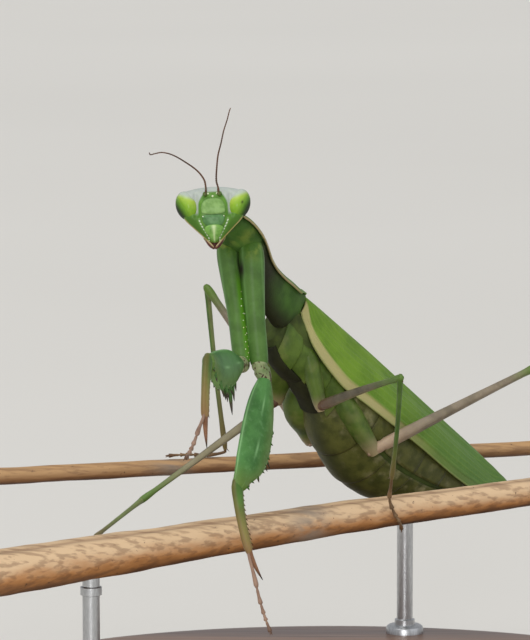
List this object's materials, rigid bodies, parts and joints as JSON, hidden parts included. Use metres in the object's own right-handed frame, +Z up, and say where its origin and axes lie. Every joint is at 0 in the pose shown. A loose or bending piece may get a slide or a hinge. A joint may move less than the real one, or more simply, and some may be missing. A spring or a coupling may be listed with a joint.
{
  "type": "praying mantis",
  "caption": "Life-size green praying mantis, head raised and fore legs reaching forward, standing across two dry stems on an oval wooden base with slim rods.",
  "frame": {"origin": "middle of the wooden base's underside, on the table", "axes": "+X towards the mantis's left and tail end, +Y away from the side its face looks to, +Z up"},
  "size_m": [0.084, 0.0744, 0.0697],
  "materials": {
    "green_cuticle": "green exoskeleton of the head and prothorax, satin, finely grained",
    "eye_cuticle": "smooth glossy eye cuticle, yellow green above and dark green below",
    "antenna_cuticle": "dark brown ringed cuticle",
    "mouth_cuticle": "pinkish brown mouthpart cuticle",
    "thorax_cuticle": "yellow green side plates and hips",
    "tegmen_cuticle": "leathery yellow green fore wing with a cream front edge",
    "hind_wing_membrane": "folded pale green membrane",
    "abdomen_cuticle": "olive and khaki cuticle with cream mottling",
    "fore_leg_cuticle": "pale blue green cuticle with white tubercles",
    "fore_tibia_cuticle": "green to orange brown cuticle with dark spine tips",
    "fore_tarsus_cuticle": "pinkish brown thin foot cuticle",
    "walking_femur_cuticle": "mauve grey brown leg cuticle, green near the knee",
    "walking_tibia_cuticle": "green leg cuticle",
    "foot_cuticle": "brown thin foot cuticle",
    "straw_stem": "dry cream stem with brown flecks",
    "dry_rim": "dry brown stem, plain",
    "base_wood": "dark satin wood, plain",
    "rod_steel": "thin plain steel rod"
  },
  "bodies": {
    "root": {"head": "green_cuticle", "eye_left": "eye_cuticle", "eye_right": "eye_cuticle", "labrum": "green_cuticle", "mouthparts": "mouth_cuticle", "antenna_left": "antenna_cuticle", "antenna_right": "antenna_cuticle", "prothorax": "green_cuticle", "neck": "green_cuticle", "mesothorax": "thorax_cuticle", "metathorax": "thorax_cuticle", "abdomen": "abdomen_cuticle", "cercus_left": "abdomen_cuticle", "cercus_right": "abdomen_cuticle", "tegmen_left": "tegmen_cuticle", "tegmen_right": "tegmen_cuticle", "hind_wing_left": "hind_wing_membrane", "hind_wing_right": "hind_wing_membrane", "fore_left_coxa": "fore_leg_cuticle", "fore_left_trochanter": "fore_leg_cuticle", "fore_left_femur": "fore_leg_cuticle", "fore_left_tibia": "fore_tibia_cuticle", "fore_left_tarsus": "fore_tarsus_cuticle", "fore_right_coxa": "fore_leg_cuticle", "fore_right_trochanter": "fore_leg_cuticle", "fore_right_femur": "fore_leg_cuticle", "fore_right_tibia": "fore_tibia_cuticle", "fore_right_tarsus": "fore_tarsus_cuticle", "perch_front": "straw_stem", "perch_rear": "dry_rim", "mid_left_coxa": "thorax_cuticle", "mid_left_femur": "walking_femur_cuticle", "mid_left_tibia": "walking_tibia_cuticle", "mid_left_tarsus": "foot_cuticle", "mid_right_coxa": "thorax_cuticle", "mid_right_femur": "walking_femur_cuticle", "mid_right_tibia": "walking_tibia_cuticle", "mid_right_tarsus": "foot_cuticle", "hind_left_coxa": "thorax_cuticle", "hind_left_femur": "walking_femur_cuticle", "hind_left_tibia": "walking_tibia_cuticle", "hind_left_tarsus": "foot_cuticle", "hind_right_coxa": "thorax_cuticle", "hind_right_femur": "walking_femur_cuticle", "hind_right_tibia": "walking_tibia_cuticle", "hind_right_tarsus": "foot_cuticle", "stand_base": "base_wood", "stand_rod_front": "rod_steel", "stand_rod_rear": "rod_steel"}
  },
  "joints": []
}
